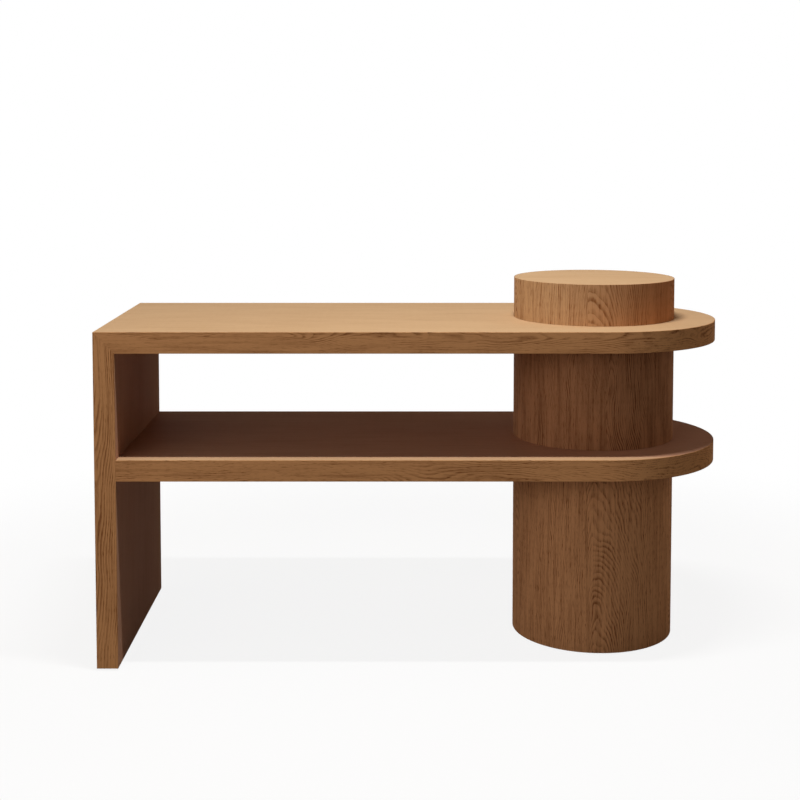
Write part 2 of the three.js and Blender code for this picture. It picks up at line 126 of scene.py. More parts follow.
studio = {
    "keyPlace": (0.05, -0.68, 3.4),  # almost overhead, a little to the front
    "keySize": (0.9, 0.07),  # a strip lamp along the table
    "keyPower": 67.0,
    "frontPlace": (-2.2, -3.7, 1.8),
    "frontSize": (2.8, 1.5),
    "frontPower": 30.0,
    "frontColour": (1.0, 0.89, 0.82),
    "leftPlace": (-4.0, -1.5, 1.5),
    "leftSize": (2.5, 2.0),
    "leftPower": 28.0,
    "leftColour": (1.0, 0.89, 0.82),
    "rightPlace": (2.0, 0.3, 0.95),  # skims the round side
    "rightSize": (0.8, 0.8),
    "rightPower": 3.3,
    "rightColour": (1.0, 0.80, 0.68),
    "backPlace": (-2.0, 4.0, 0.6),
    "backSize": (3.0, 1.2),
    "backPower": 21.0,
    "backColour": (1.0, 0.89, 0.82),
    "fillAim": (0.0, 0.0, 0.45),
    "ambient": (0.082, 0.070, 0.058, 1.0),
    "background": (1.0, 1.0, 1.0, 1.0),
    "floorSpan": 12.0,
    "floorColour": (0.23, 0.219, 0.206, 1.0),  # as the table sees it
    "floorWhite": (1.0, 1.0, 0.99, 1.0),  # as the camera sees it
    "shadowShare": 0.12,  # how much of the floor's own light and shadow the camera sees
    "shadowReach": (1.0, 2.2),  # metres from the table over which that fades into the background
}


def makeCamera():
    data = bpy.data.cameras.new("shopCamera")
    data.lens = cameraSetup["lens"]
    data.shift_y = cameraSetup["shiftUp"]
    camera = bpy.data.objects.new("shopCamera", data)
    scene.collection.objects.link(camera)
    camera.location = cameraSetup["place"]
    camera.rotation_euler = (math.pi / 2 - cameraSetup["tiltDown"], 0, 0)
    scene.camera = camera


def makeLamp(name, place, aim, size, power, colour=(1.0, 1.0, 1.0)):
    light = bpy.data.lights.new(name, "AREA")
    light.shape = "RECTANGLE"
    light.size, light.size_y = size
    light.energy = power
    light.color = colour
    lamp = bpy.data.objects.new(name, light)
    lamp.location = place
    lamp.visible_camera = False
    lamp.rotation_euler = (Vector(aim) - lamp.location).to_track_quat("-Z", "Y").to_euler()
    scene.collection.objects.link(lamp)


def makeLights():
    straightDown = (*studio["keyPlace"][:2], 0)
    makeLamp("keyLight", studio["keyPlace"], straightDown, studio["keySize"], studio["keyPower"])
    for name in ("front", "left", "right", "back"):
        makeLamp(name + "Light", studio[name + "Place"], studio["fillAim"], studio[name + "Size"],
                 studio[name + "Power"], studio[name + "Colour"])


def seenDirectly(tree):
    # 1 for rays that show the background: straight, in gloss or through glass
    path = tree.nodes.new("ShaderNodeLightPath")
    first = mathNode(tree, "MAXIMUM", path.outputs["Is Camera Ray"], path.outputs["Is Glossy Ray"])
    return mathNode(tree, "MAXIMUM", first, path.outputs["Is Transmission Ray"])


def makeWorld():
    world = bpy.data.worlds.new("studioWorld")
    scene.world = world
    world.use_nodes = True
    tree = world.node_tree
    sky = mixColours(tree, seenDirectly(tree), studio["ambient"], studio["background"])
    tree.links.new(sky, tree.nodes["Background"].inputs["Color"])


def makeFloor():
    bpy.ops.mesh.primitive_plane_add(size=studio["floorSpan"])
    floor = bpy.context.object
    floor.name = "studioFloor"
    material = bpy.data.materials.new("paleFloor")
    material.use_nodes = True
    tree = material.node_tree
    tree.nodes.clear()
    paint = addNode(tree, "ShaderNodeBsdfDiffuse", {"Color": studio["floorColour"]}).outputs[0]
    bright = addNode(tree, "ShaderNodeBsdfDiffuse", {"Color": studio["floorWhite"]}).outputs[0]
    clear = tree.nodes.new("ShaderNodeBsdfTransparent").outputs[0]
    away = addNode(tree, "ShaderNodeVectorMath", {0: pieceCoords(tree)}, operation="LENGTH")
    near, far = studio["shadowReach"]
    share = addNode(tree, "ShaderNodeMapRange", {
        "Value": away.outputs["Value"], "From Min": near, "From Max": far,
        "To Min": studio["shadowShare"], "To Max": 0.0,
    }, interpolation_type="SMOOTHSTEP")
    shade = addNode(tree, "ShaderNodeMixShader", {0: share.outputs["Result"], 1: clear, 2: bright})
    shown = addNode(tree, "ShaderNodeMixShader", {0: seenDirectly(tree), 1: paint, 2: shade.outputs[0]})
    out = tree.nodes.new("ShaderNodeOutputMaterial")
    tree.links.new(shown.outputs[0], out.inputs["Surface"])
    floor.data.materials.append(material)


# oak: growth rings cut by the veneer knife, pores, and the stained colour

leafInputs = {
    "Sheet": ("Vector", None),  # metres: X across the grain, Y along it, Z into the wood
    "Leaf Width": ("Float", 0.2),
    "Crown Offset": ("Float", 0.0),
    "Drift": ("Float", 0.0),
    "Heart Depth": ("Float", 0.06),
    "Lean": ("Float", 0.1),
    "Skew": ("Float", 1.0),
    "Ring Width": ("Float", 0.003),
    "Wander": ("Float", 0.006),
    "Seed": ("Float", 0.0),
}
growth = {
    "logLength": 0.9,  # the heights that the leaves come from
    "bends": ((9.0, 3.0), (42.0, 0.36)),  # scale and share: the log's slow bends, the ripple of single rings
    "bendStretch": 0.40,
    "bendDetail": 1.5,
    "earlyWood": (0.08, 0.62),  # dark at the start of each year, fading into the pale late wood
    "yearEnd": (0.86, 1.0),
    "faintest": 0.45,  # of the rings
    "patchStretch": (1.0, 0.22, 1.0),
    "patchScale": 34.0,
    "patchDetail": 2.0,
    "patchTurn": (0.36, 0.62),
    "patchLeast": 0.3,
}
poreLayers = {
    "fine": {"stretch": 0.035, "scale": 1500.0, "detail": 1.0, "turn": (0.56, 0.70)},
    "coarse": {"stretch": 0.13, "scale": 340.0, "detail": 1.5, "turn": (0.55, 0.72)},
    "streak": {"stretch": 0.03, "scale": 150.0, "detail": 3.0, "turn": (0.28, 0.72)},
    "cloud": {"stretch": 0.3, "scale": 7.0, "detail": 2.0, "turn": (0.25, 0.75)},
}
poreShare = {"inRings": 0.75, "everywhere": 0.35}
lacquer = {
    "cloudShare": 0.18,
    "leafShare": 0.10,
    "roughness": 0.66,
    "poreRoughness": 0.14,
    "ringRelief": 0.35,
    "relief": 0.25,
    "poreDepth": 0.25 * mm,
    "oakSheen": 0.005,
    "rawSheen": 0.2,
}


def makeGrowthRings():
    group, given, out = newGroup("growthRings", leafInputs, {"Ring": "Float", "Leaf Tone": "Float"})
    place = split(group, given["Sheet"])
    leaf = mathNode(group, "ROUND", mathNode(group, "DIVIDE", place["X"], given["Leaf Width"]))
    leafStart = mathNode(group, "MULTIPLY", leaf, given["Leaf Width"])
    local = mathNode(group, "SUBTRACT", place["X"], leafStart)
    luck = luckyNumber(group, mathNode(group, "ADD", leaf, given["Seed"]))
    # every leaf but the first comes from another height of the log
    shifted = mathNode(group, "SUBTRACT", luck, luckyNumber(group, given["Seed"]))
    along = mathNode(group, "MULTIPLY_ADD", shifted, growth["logLength"], place["Y"])
    across = mathNode(group, "SUBTRACT", local, given["Crown Offset"])
    across = mathNode(group, "SUBTRACT", across, mathNode(group, "MULTIPLY", place["Y"], given["Drift"]))
    depth = mathNode(group, "MULTIPLY_ADD", along, given["Lean"], given["Heart Depth"])
    stretched = mathNode(group, "MULTIPLY", along, growth["bendStretch"])
    spot = addNode(group, "ShaderNodeCombineXYZ", {"X": local, "Y": stretched, "Z": given["Seed"]})
    for scale, share in growth["bends"]:
        noise = addNode(group, "ShaderNodeTexNoise", {
            "Vector": spot.outputs[0], "Scale": scale, "Detail": growth["bendDetail"], "Roughness": 0.5,
        })
        bend = addNode(group, "ShaderNodeSeparateColor", {0: noise.outputs["Color"]}).outputs
        size = mathNode(group, "MULTIPLY", given["Wander"], share)
        sideways = mathNode(group, "SUBTRACT", bend["Red"], 0.5)
        inward = mathNode(group, "SUBTRACT", bend["Green"], 0.5)
        across = mathNode(group, "MULTIPLY_ADD", sideways, size, across)
        depth = mathNode(group, "MULTIPLY_ADD", inward, size, depth)
    # the crown's left flank can be steeper than its right
    left = mathNode(group, "MULTIPLY", mathNode(group, "MINIMUM", across, 0.0), given["Skew"])
    across = mathNode(group, "ADD", mathNode(group, "MAXIMUM", across, 0.0), left)
    square = mathNode(group, "MULTIPLY_ADD", across, across, mathNode(group, "MULTIPLY", depth, depth))
    phase = mathNode(group, "DIVIDE", mathNode(group, "SQRT", square), given["Ring Width"])
    year = mathNode(group, "FRACT", phase)
    early = mathNode(group, "SUBTRACT", 1.0, smoothStep(group, year, *growth["earlyWood"]))
    ring = mathNode(group, "MAXIMUM", early, smoothStep(group, year, *growth["yearEnd"]))
    ringLuck = luckyNumber(group, mathNode(group, "FLOOR", phase))
    faintest = growth["faintest"]
    weight = mathNode(group, "MULTIPLY_ADD", ringLuck, 1 - faintest, faintest)
    # rings come and go along the sheet
    spot = addNode(group, "ShaderNodeVectorMath", {
        0: given["Sheet"], 1: growth["patchStretch"],
    }, operation="MULTIPLY")
    patch = addNode(group, "ShaderNodeTexNoise", {
        "Vector": spot.outputs[0], "Scale": growth["patchScale"], "Detail": growth["patchDetail"],
    })
    shown = smoothStep(group, patch.outputs["Fac"], *growth["patchTurn"])
    shown = mathNode(group, "MULTIPLY_ADD", shown, 1 - growth["patchLeast"], growth["patchLeast"])
    weight = mathNode(group, "MULTIPLY", weight, shown)
    group.links.new(mathNode(group, "MULTIPLY", ring, weight), out["Ring"])
    group.links.new(luck, out["Leaf Tone"])
    return group


def makeOakPores():
    # short dark vessels along the grain, and long soft streaks of tone
    group, given, out = newGroup("oakPores", {
        "Sheet": ("Vector", None), "Ring": ("Float", 0.0),
    }, {"Pore": "Float", "Streak": "Float", "Cloud": "Float"})
    shown = {}
    for name, layer in poreLayers.items():
        spot = addNode(group, "ShaderNodeVectorMath", {
            0: given["Sheet"], 1: (1.0, layer["stretch"], 1.0),
        }, operation="MULTIPLY")
        noise = addNode(group, "ShaderNodeTexNoise", {
            "Vector": spot.outputs[0], "Scale": layer["scale"], "Detail": layer["detail"], "Roughness": 0.6,
        })
        shown[name] = smoothStep(group, noise.outputs["Fac"], *layer["turn"])
    rich = mathNode(group, "MULTIPLY_ADD", given["Ring"], poreShare["inRings"], poreShare["everywhere"])
    vessels = mathNode(group, "MAXIMUM", shown["fine"], shown["coarse"])
    group.links.new(mathNode(group, "MULTIPLY", vessels, rich), out["Pore"])
    group.links.new(shown["streak"], out["Streak"])
    group.links.new(shown["cloud"], out["Cloud"])
    return group


def makeOakFinish():
    # matt lacquered oak: colour, roughness and the height of its open grain
    group, given, out = newGroup("oakFinish", {
        **leafInputs,
        "Pale": ("Color", (0.5, 0.27, 0.12, 1)),
        "Deep": ("Color", (0.3, 0.13, 0.05, 1)),
        "Ring Strength": ("Float", 0.5),
        "Pore Strength": ("Float", 0.5),
        "Streak Strength": ("Float", 0.3),
    }, {"Color": "Color", "Roughness": "Float", "Height": "Float"})
    rings = placeGroup(group, growthRings)
    for name in leafInputs:
        group.links.new(given[name], rings.inputs[name])
    ring = rings.outputs["Ring"]
    pores = placeGroup(group, oakPores)
    group.links.new(given["Sheet"], pores.inputs["Sheet"])
    group.links.new(ring, pores.inputs["Ring"])
    pore = pores.outputs["Pore"]
    dark = mathNode(group, "MULTIPLY", ring, given["Ring Strength"])
    dark = mathNode(group, "MULTIPLY_ADD", pore, given["Pore Strength"], dark)
    for tone, share in (
        (pores.outputs["Streak"], given["Streak Strength"]),
        (pores.outputs["Cloud"], lacquer["cloudShare"]),
        (rings.outputs["Leaf Tone"], lacquer["leafShare"]),
    ):
        dark = mathNode(group, "MULTIPLY_ADD", mathNode(group, "SUBTRACT", tone, 0.5), share, dark)
    stain = mixColours(group, dark, given["Pale"], given["Deep"])
    rough = mathNode(group, "MULTIPLY_ADD", pore, lacquer["poreRoughness"], lacquer["roughness"])
    relief = mathNode(group, "MULTIPLY_ADD", ring, lacquer["ringRelief"], pore)
    group.links.new(stain, out["Color"])
    group.links.new(rough, out["Roughness"])
    group.links.new(mathNode(group, "SUBTRACT", 1.0, relief), out["Height"])
    return group


growthRings = makeGrowthRings()
oakPores = makeOakPores()
oakFinish = makeOakFinish()
print("oak groups built")


# sheet coordinates: where the grain runs on each kind of piece

def middleOf(node):
    low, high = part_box(node)
    return (low + high) / 2


drumLow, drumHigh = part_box("lower_drum_wrap")
drumAxis = (drumLow.x + drumHigh.x) / 2
drumRadius = (drumHigh.x - drumLow.x) / 2
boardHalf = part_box("top_edge_band")[1].y
frontLeaf = 0.085  # the middle of the drums' front leaf, to the right of the front


def laySheet(tree, across, along, depth):
    node = addNode(tree, "ShaderNodeCombineXYZ", {"X": across, "Y": along, "Z": depth})
    return node.outputs[0]


def lengthwise(tree, place):
    return laySheet(tree, place["Y"], place["X"], place["Z"])


def upright(tree, place):
    return laySheet(tree, place["Y"], place["Z"], place["X"])


def uprightEdge(tree, place):
    return laySheet(tree, place["X"], place["Z"], place["Y"])


def roundTheNose(tree, place):
    # the band unrolled: straight along the board, then round the nose
    past = mathNode(tree, "MAXIMUM", mathNode(tree, "SUBTRACT", place["X"], drumAxis), 0.0)
    straight = mathNode(tree, "MINIMUM", place["X"], drumAxis)
    turn = mathNode(tree, "ARCTAN2", past, mathNode(tree, "MULTIPLY", place["Y"], -1.0))
    along = mathNode(tree, "MULTIPLY_ADD", turn, boardHalf, straight)
    return laySheet(tree, place["Z"], along, place["Y"])


def roundTheDrum(tree, place):
    # the wrap unrolled from its joint at the back
    past = mathNode(tree, "SUBTRACT", place["X"], drumAxis)
    turn = mathNode(tree, "ARCTAN2", past, mathNode(tree, "MULTIPLY", place["Y"], -1.0))
    around = mathNode(tree, "MULTIPLY_ADD", turn, drumRadius, -frontLeaf)
    return laySheet(tree, around, place["Z"], 0.0)


def makeOak(name, sheet, values, sheen=lacquer["oakSheen"], paintedShade=None):
    material, tree, surface = newMaterial(name)
    oak = placeGroup(tree, oakFinish)
    laid = sheet(tree, split(tree, pieceCoords(tree)))
    tree.links.new(laid, oak.inputs["Sheet"])
    for socket, value in values.items():
        oak.inputs[socket].default_value = value
    if paintedShade:
        # painted shade: the veneer's ground colour turns from one side of the sheet to the other
        share = smoothStep(tree, split(tree, laid)["X"], *paintedShade["span"])
        tree.links.new(mixColours(tree, share, values["Pale"], paintedShade["far"]), oak.inputs["Pale"])
    tree.links.new(oak.outputs["Color"], surface["Base Color"])
    tree.links.new(oak.outputs["Roughness"], surface["Roughness"])
    relief = addNode(tree, "ShaderNodeBump", {
        "Strength": lacquer["relief"], "Distance": lacquer["poreDepth"], "Height": oak.outputs["Height"],
    })
    tree.links.new(relief.outputs["Normal"], surface["Normal"])
    surface["Specular IOR Level"].default_value = sheen
    return material


oakTone = {
    "facePale": (0.62, 0.40, 0.22, 1), "faceDeep": (0.40, 0.215, 0.095, 1),
    "edgePale": (0.62, 0.315, 0.135, 1), "edgeDeep": (0.24, 0.094, 0.032, 1),
    "drumPale": (0.68, 0.348, 0.167, 1), "drumDeep": (0.25, 0.098, 0.036, 1),
    # painted shade: the upper drum's far tone darkens its right side
    "upperPale": (0.60, 0.375, 0.195, 1), "upperPaintedShade": (0.50, 0.225, 0.10, 1),
    # painted shade: the middle drum is a darker copy of the drum tones, for the shade under the top board
    "middlePaintedShadePale": (0.465, 0.230, 0.117, 1), "middlePaintedShadeDeep": (0.18, 0.070, 0.026, 1),
    # painted shade: the shelf's tones for the shade under the top board
    "shelfPaintedShadePale": (0.54, 0.29, 0.185, 1), "shelfPaintedShadeDeep": (0.33, 0.15, 0.08, 1),
    # painted shade: the gable's inner face, inside the table
    "gableInsidePaintedShadePale": (0.59, 0.315, 0.20, 1), "gableInsidePaintedShadeDeep": (0.37, 0.165, 0.088, 1),
}
drumRound = math.tau * drumRadius
wholeSheet = 5.0  # a leaf wider than any piece, so that no joint shows

faceGrain = {
    "Leaf Width": 0.15, "Crown Offset": 0.30, "Heart Depth": 0.05, "Lean": 0.012, "Ring Width": 0.0032,
    "Wander": 0.006, "Seed": 3.0, "Pale": oakTone["facePale"], "Deep": oakTone["faceDeep"],
    "Ring Strength": 0.24, "Pore Strength": 0.33, "Streak Strength": 0.26,
}
# painted shade: the shelf's deep tone is darker and redder than the top's
shelfGrain = {**faceGrain, "Seed": 4.0, "Deep": oakTone["shelfPaintedShadeDeep"]}
paintedShelfShade = {"far": oakTone["shelfPaintedShadePale"], "span": (-0.284, -0.25)}  # pale along its front edge, painted shade behind it
gableGrain = {
    **faceGrain, "Leaf Width": 0.2, "Crown Offset": 0.02, "Heart Depth": 0.02, "Lean": 0.07, "Skew": 1.3,
    "Wander": 0.012, "Seed": 6.0, "Ring Strength": 0.55, "Pore Strength": 0.6, "Streak Strength": 0.35,
}
# painted shade: the gable's inner face takes darker, redder tones than its outer face
gableInsideGrain = {
    **faceGrain, "Seed": 8.0, "Pale": oakTone["gableInsidePaintedShadePale"], "Deep": oakTone["gableInsidePaintedShadeDeep"],
}
bandGrain = {
    "Leaf Width": wholeSheet, "Heart Depth": 0.018, "Lean": 0.04, "Skew": 1.4, "Ring Width": 0.0034,
    "Wander": 0.016, "Seed": 51.0, "Pale": oakTone["edgePale"], "Deep": oakTone["edgeDeep"],
    "Ring Strength": 0.75, "Pore Strength": 0.75, "Streak Strength": 0.5,
}
topBandGrain = {**bandGrain, "Crown Offset": middleOf("top_edge_band").z + 0.014}
shelfBandGrain = {
    **bandGrain, "Crown Offset": middleOf("shelf_edge_band").z - 0.03, "Seed": 64.0, "Lean": 0.05,
    "Ring Strength": 0.6, "Pore Strength": 0.95,
}
gableBandGrain = {
    **bandGrain, "Crown Offset": middleOf("gable_front_band").x - 0.04, "Drift": 0.03,
    "Heart Depth": -0.03, "Lean": 0.03, "Ring Width": 0.0048, "Wander": 0.012, "Seed": 17.0,
}
drumGrain = {
    "Leaf Width": drumRound / 5, "Crown Offset": -0.105, "Heart Depth": 0.045, "Lean": 0.2, "Skew": 2.6,
    "Ring Width": 0.0042, "Wander": 0.017, "Seed": 25.0,
    "Pale": oakTone["drumPale"], "Deep": oakTone["drumDeep"],
    "Ring Strength": 0.68, "Pore Strength": 1.0, "Streak Strength": 0.55,
}
# painted shade: the middle drum's darker tones stand in for the shade under the top board
middleGrain = {
    **drumGrain, "Leaf Width": drumRound / 3, "Crown Offset": -0.07, "Heart Depth": -0.06, "Lean": 0.12,
    "Skew": 1.5, "Wander": 0.022, "Seed": 17.0, "Pale": oakTone["middlePaintedShadePale"], "Deep": oakTone["middlePaintedShadeDeep"],
    "Ring Strength": 1.15,
}
upperGrain = {
    **drumGrain, "Crown Offset": -0.12, "Heart Depth": -0.06, "Lean": 0.16, "Skew": 1.5, "Wander": 0.012,
    "Seed": 39.0, "Pale": oakTone["upperPale"], "Ring Strength": 0.85, "Pore Strength": 0.85,
}
# painted shade: the upper drum turns darker and redder towards its right side
paintedUpperShade = {"far": oakTone["upperPaintedShade"], "span": (-0.28, 0.10)}

oakFace = makeOak("oakFace", lengthwise, faceGrain)
oakShelf = makeOak("oakShelf", lengthwise, shelfGrain, paintedShade=paintedShelfShade)
oakGable = makeOak("oakGable", upright, gableGrain)
oakGableInside = makeOak("oakGableInside", upright, gableInsideGrain)
oakTopBand = makeOak("oakTopBand", roundTheNose, topBandGrain)
oakShelfBand = makeOak("oakShelfBand", roundTheNose, shelfBandGrain)
oakGableBand = makeOak("oakGableBand", uprightEdge, gableBandGrain)
oakLowerDrum = makeOak("oakLowerDrum", roundTheDrum, drumGrain)
oakMiddleDrum = makeOak("oakMiddleDrum", roundTheDrum, middleGrain)
oakUpperDrum = makeOak("oakUpperDrum", roundTheDrum, upperGrain, paintedShade=paintedUpperShade)
print("oak materials built")


# raw timber, zinc and nylon

rawTone = {
    "plyPale": (0.68, 0.49, 0.29, 1), "plyDeep": (0.42, 0.26, 0.13, 1),
    "beechPale": (0.64, 0.39, 0.21, 1), "beechDeep": (0.44, 0.22, 0.10, 1),
}
plyLayers = {"board": 1.6 * mm, "shell": 1.3 * mm, "turn": (0.46, 0.54), "shade": 0.30}
plyGrain = {
    **faceGrain, "Leaf Width": 0.6, "Ring Width": 0.006, "Seed": 21.0,
    "Pale": rawTone["plyPale"], "Deep": rawTone["plyDeep"],
    "Ring Strength": 0.25, "Pore Strength": 0.15, "Streak Strength": 0.3,
}
beechGrain = {
    **plyGrain, "Leaf Width": wholeSheet, "Ring Width": 0.003,
    "Pale": rawTone["beechPale"], "Deep": rawTone["beechDeep"],
}
zincPlate = {
    "blue": (0.60, 0.61, 0.63, 1),
    "yellow": (0.66, 0.64, 0.58, 1),
    "bloomScale": 160.0,
    "bloomDetail": 4.0,
    "bloomTurn": (0.35, 0.7),
    "roughness": (0.26, 0.48),
}
mouldedNylon = {
    "black": (0.018, 0.018, 0.020, 1),
    "dusty": (0.034, 0.033, 0.032, 1),
    "dustScale": 90.0,
    "dustDetail": 3.0,
    "dustTurn": (0.4, 0.75),
    "roughness": (0.45, 0.62),
    "sheen": 0.25,
    "sparkScale": 2200.0,
    "sparkDetail": 2.0,
    "sparkDepth": 0.05 * mm,
    "sparkRelief": 0.2,
}


def acrossBoard(tree, place):
    return place["Z"]


def acrossGable(tree, place):
    return place["X"]


def acrossShell(tree, place):
    past = mathNode(tree, "SUBTRACT", place["X"], drumAxis)
    side = mathNode(tree, "MULTIPLY", place["Y"], place["Y"])
    return mathNode(tree, "SQRT", mathNode(tree, "MULTIPLY_ADD", past, past, side))


def makePly(name, sheet, across, thickness):
    # plywood, every second ply a shade deeper where the edge shows the layers
    material = makeOak(name, sheet, plyGrain, lacquer["rawSheen"])
    tree = material.node_tree
    colour = tree.nodes["Principled BSDF"].inputs["Base Color"]
    wood = colour.links[0].from_socket
    count = mathNode(tree, "DIVIDE", across(tree, split(tree, pieceCoords(tree))), thickness)
    second = smoothStep(tree, mathNode(tree, "PINGPONG", count, 1.0), *plyLayers["turn"])
    shade = mathNode(tree, "MULTIPLY", second, plyLayers["shade"])
    tree.links.new(mixColours(tree, shade, wood, rawTone["plyDeep"]), colour)
    return material


def addNoise(tree, scale, detail, roughness):
    node = addNode(tree, "ShaderNodeTexNoise", {
        "Vector": pieceCoords(tree), "Scale": scale, "Detail": detail, "Roughness": roughness,
    })
    return node.outputs["Fac"]


def mottle(tree, surface, noise, turn, first, second, roughness):
    # colour and roughness that change together over the surface
    share = smoothStep(tree, noise, *turn)
    tree.links.new(mixColours(tree, share, first, second), surface["Base Color"])
    low, high = roughness
    rough = addNode(tree, "ShaderNodeMapRange", {"Value": noise, "To Min": low, "To Max": high})
    tree.links.new(rough.outputs["Result"], surface["Roughness"])


def makeZincSteel():
    material, tree, surface = newMaterial("zincSteel")
    surface["Metallic"].default_value = 1.0
    bloom = addNoise(tree, zincPlate["bloomScale"], zincPlate["bloomDetail"], 0.6)
    mottle(tree, surface, bloom, zincPlate["bloomTurn"], zincPlate["blue"], zincPlate["yellow"],
           zincPlate["roughness"])
    return material


def makeBlackNylon():
    material, tree, surface = newMaterial("blackNylon")
    surface["Specular IOR Level"].default_value = mouldedNylon["sheen"]
    dust = addNoise(tree, mouldedNylon["dustScale"], mouldedNylon["dustDetail"], 0.6)
    mottle(tree, surface, dust, mouldedNylon["dustTurn"], mouldedNylon["black"], mouldedNylon["dusty"],
           mouldedNylon["roughness"])
    relief = addNode(tree, "ShaderNodeBump", {
        "Strength": mouldedNylon["sparkRelief"],
        "Distance": mouldedNylon["sparkDepth"],
        "Height": addNoise(tree, mouldedNylon["sparkScale"], mouldedNylon["sparkDetail"], 0.5),
    })
    tree.links.new(relief.outputs["Normal"], surface["Normal"])
    return material


rawPly = makePly("rawPly", lengthwise, acrossBoard, plyLayers["board"])
uprightPly = makePly("uprightPly", upright, acrossGable, plyLayers["board"])
bentPly = makePly("bentPly", roundTheDrum, acrossShell, plyLayers["shell"])
rawBeech = makeOak("rawBeech", lengthwise, beechGrain, lacquer["rawSheen"])
zincSteel = makeZincSteel()
blackNylon = makeBlackNylon()
print("other finishes built")


# modelling helpers

hairline = 0.1 * mm  # two places nearer than this are one
meshFinish = {"weld": 0.002 * mm, "softAngle": math.radians(40), "flatWeight": 100}


def adopt(name):
    # the primitive just added, with its size and place in its mesh
    piece = bpy.context.object
    piece.name = piece.data.name = name
    bpy.ops.object.transform_apply(location=True, rotation=True, scale=True)
    bpy.ops.object.mode_set(mode="EDIT")
    return piece


def pick(piece, kind, test):
    bpy.ops.mesh.select_mode(type=kind)
    bpy.ops.mesh.select_all(action="DESELECT")
    mesh = bmesh.from_edit_mesh(piece.data)
    mesh.normal_update()
    for part in mesh.faces if kind == "FACE" else mesh.edges:
        if test(part):
            part.select_set(True)
    bmesh.update_edit_mesh(piece.data)


def isLevel(edge):
    return abs(edge.verts[0].co.z - edge.verts[1].co.z) < hairline


def facesUp(face):
    return face.normal.z > 0.99


def facesDown(face):
    return face.normal.z < -0.99


def easeEdges(piece, radius, steps, test):
    pick(piece, "EDGE", test)
    bpy.ops.mesh.bevel(offset=radius, segments=steps, affect="EDGES")


def cutMitre(piece, corner, keepAbove):
    # the slope runs down from the table's top corner to the inside of the gable
    bpy.ops.mesh.select_all(action="SELECT")
    bpy.ops.mesh.bisect(plane_co=corner, plane_no=(1, 0, 1), use_fill=True, clear_inner=keepAbove,
                        clear_outer=not keepAbove)


def closeMesh():
    bpy.ops.mesh.select_mode(type="FACE")
    bpy.ops.mesh.select_all(action="DESELECT")
    bpy.ops.mesh.select_interior_faces()
    bpy.ops.mesh.delete(type="FACE")
    bpy.ops.mesh.select_all(action="SELECT")
    bpy.ops.mesh.remove_doubles(threshold=meshFinish["weld"])
    bpy.ops.mesh.normals_make_consistent(inside=False)
    bpy.ops.object.mode_set(mode="OBJECT")
    bpy.ops.object.shade_smooth_by_angle(angle=meshFinish["softAngle"])
    # broad faces keep their own normal, the narrow arrises turn between them
    flatten = bpy.context.object.modifiers.new("flatten", "WEIGHTED_NORMAL")
    flatten.weight = meshFinish["flatWeight"]
    flatten.keep_sharp = True
    bpy.ops.object.modifier_apply(modifier=flatten.name)


def hangOn(piece, material, body, slotName, *replaced):
    piece.data.materials.clear()
    piece.data.materials.append(material)
    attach(piece, body)
    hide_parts(*replaced)
    bpy.ops.object.select_all(action="DESELECT")


# edge bands

edgeBand = {
    "thickness": 1.78 * mm,  # closes on the skins behind it
    "arris": 0.7 * mm,
    "arrisSteps": 3,
    "noseSteps": 120,
    "mitreGap": 0.03 * mm,
    "insideBy": 0.005 * mm,  # of the node's box, so that rounding never passes it
}
mitreTip = Vector((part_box("gable_front_band")[0].x, 0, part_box("top_edge_band")[1].z))
mitreGap = Vector((edgeBand["mitreGap"], 0, 0))


def insideBox(node):
    hair = Vector([edgeBand["insideBy"]] * 3)
    low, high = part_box(node)
    return low + hair, high - hair


def makeNosedBand(name, node, material, mitred):
    low, high = insideBox(node)
    nose = high.x - high.y  # where the straight edge runs into the round nose
    thick = edgeBand["thickness"]
    if mitred:
        low.x = mitreTip.x + mitreGap.x
    bpy.ops.mesh.primitive_cube_add(
        size=1, location=((low.x + nose) / 2, low.y + thick / 2, (low.z + high.z) / 2),
        scale=(nose - low.x, thick, high.z - low.z))
    piece = adopt(name)
    pick(piece, "FACE", lambda face: face.normal.x > 0.99)
    bpy.ops.mesh.spin(steps=edgeBand["noseSteps"], angle=-math.pi, center=(nose, 0, 0), axis=(0, 0, 1))
    bpy.ops.mesh.extrude_region_move(TRANSFORM_OT_translate={"value": (low.x - nose, 0, 0)})

    def onArris(edge):
        reach = [math.hypot(max(v.co.x - nose, 0), v.co.y) for v in edge.verts]
        return isLevel(edge) and min(reach) > high.y - thick / 2

    easeEdges(piece, edgeBand["arris"], edgeBand["arrisSteps"], onArris)
    if mitred:
        cutMitre(piece, mitreTip + mitreGap, True)
    closeMesh()
    hangOn(piece, material, "table", "oak", node)


def makeGableBand(name, node, material, face):
    low, high = insideBox(node)
    high.z = mitreTip.z - mitreGap.x
    outer = low.y if face < 0 else high.y
    thick = edgeBand["thickness"]
    bpy.ops.mesh.primitive_cube_add(
        size=1, location=((low.x + high.x) / 2, outer - face * thick / 2, (low.z + high.z) / 2),
        scale=(high.x - low.x, thick, high.z - low.z))
    piece = adopt(name)

    def onArris(edge):
        outside = all(abs(v.co.y - outer) < hairline for v in edge.verts)
        return outside and min(v.co.z for v in edge.verts) < high.z - hairline

    easeEdges(piece, edgeBand["arris"], edgeBand["arrisSteps"], onArris)
    cutMitre(piece, mitreTip - mitreGap, False)
    closeMesh()
    hangOn(piece, material, "table", "oak", node)


makeNosedBand("topEdgeBand", "top_edge_band", oakTopBand, True)
makeNosedBand("shelfEdgeBand", "shelf_edge_band", oakShelfBand, False)
makeGableBand("gableFrontBand", "gable_front_band", oakGableBand, -1)
makeGableBand("gableRearBand", "gable_rear_band", oakGableBand, 1)
print("edge bands modelled")


# drums

drumWrap = {"wall": 1.0 * mm, "arris": 0.6 * mm, "arrisSteps": 3, "facets": 192}
drumLid = {"clearance": 0.05 * mm, "arris": 0.25 * mm, "arrisSteps": 2}


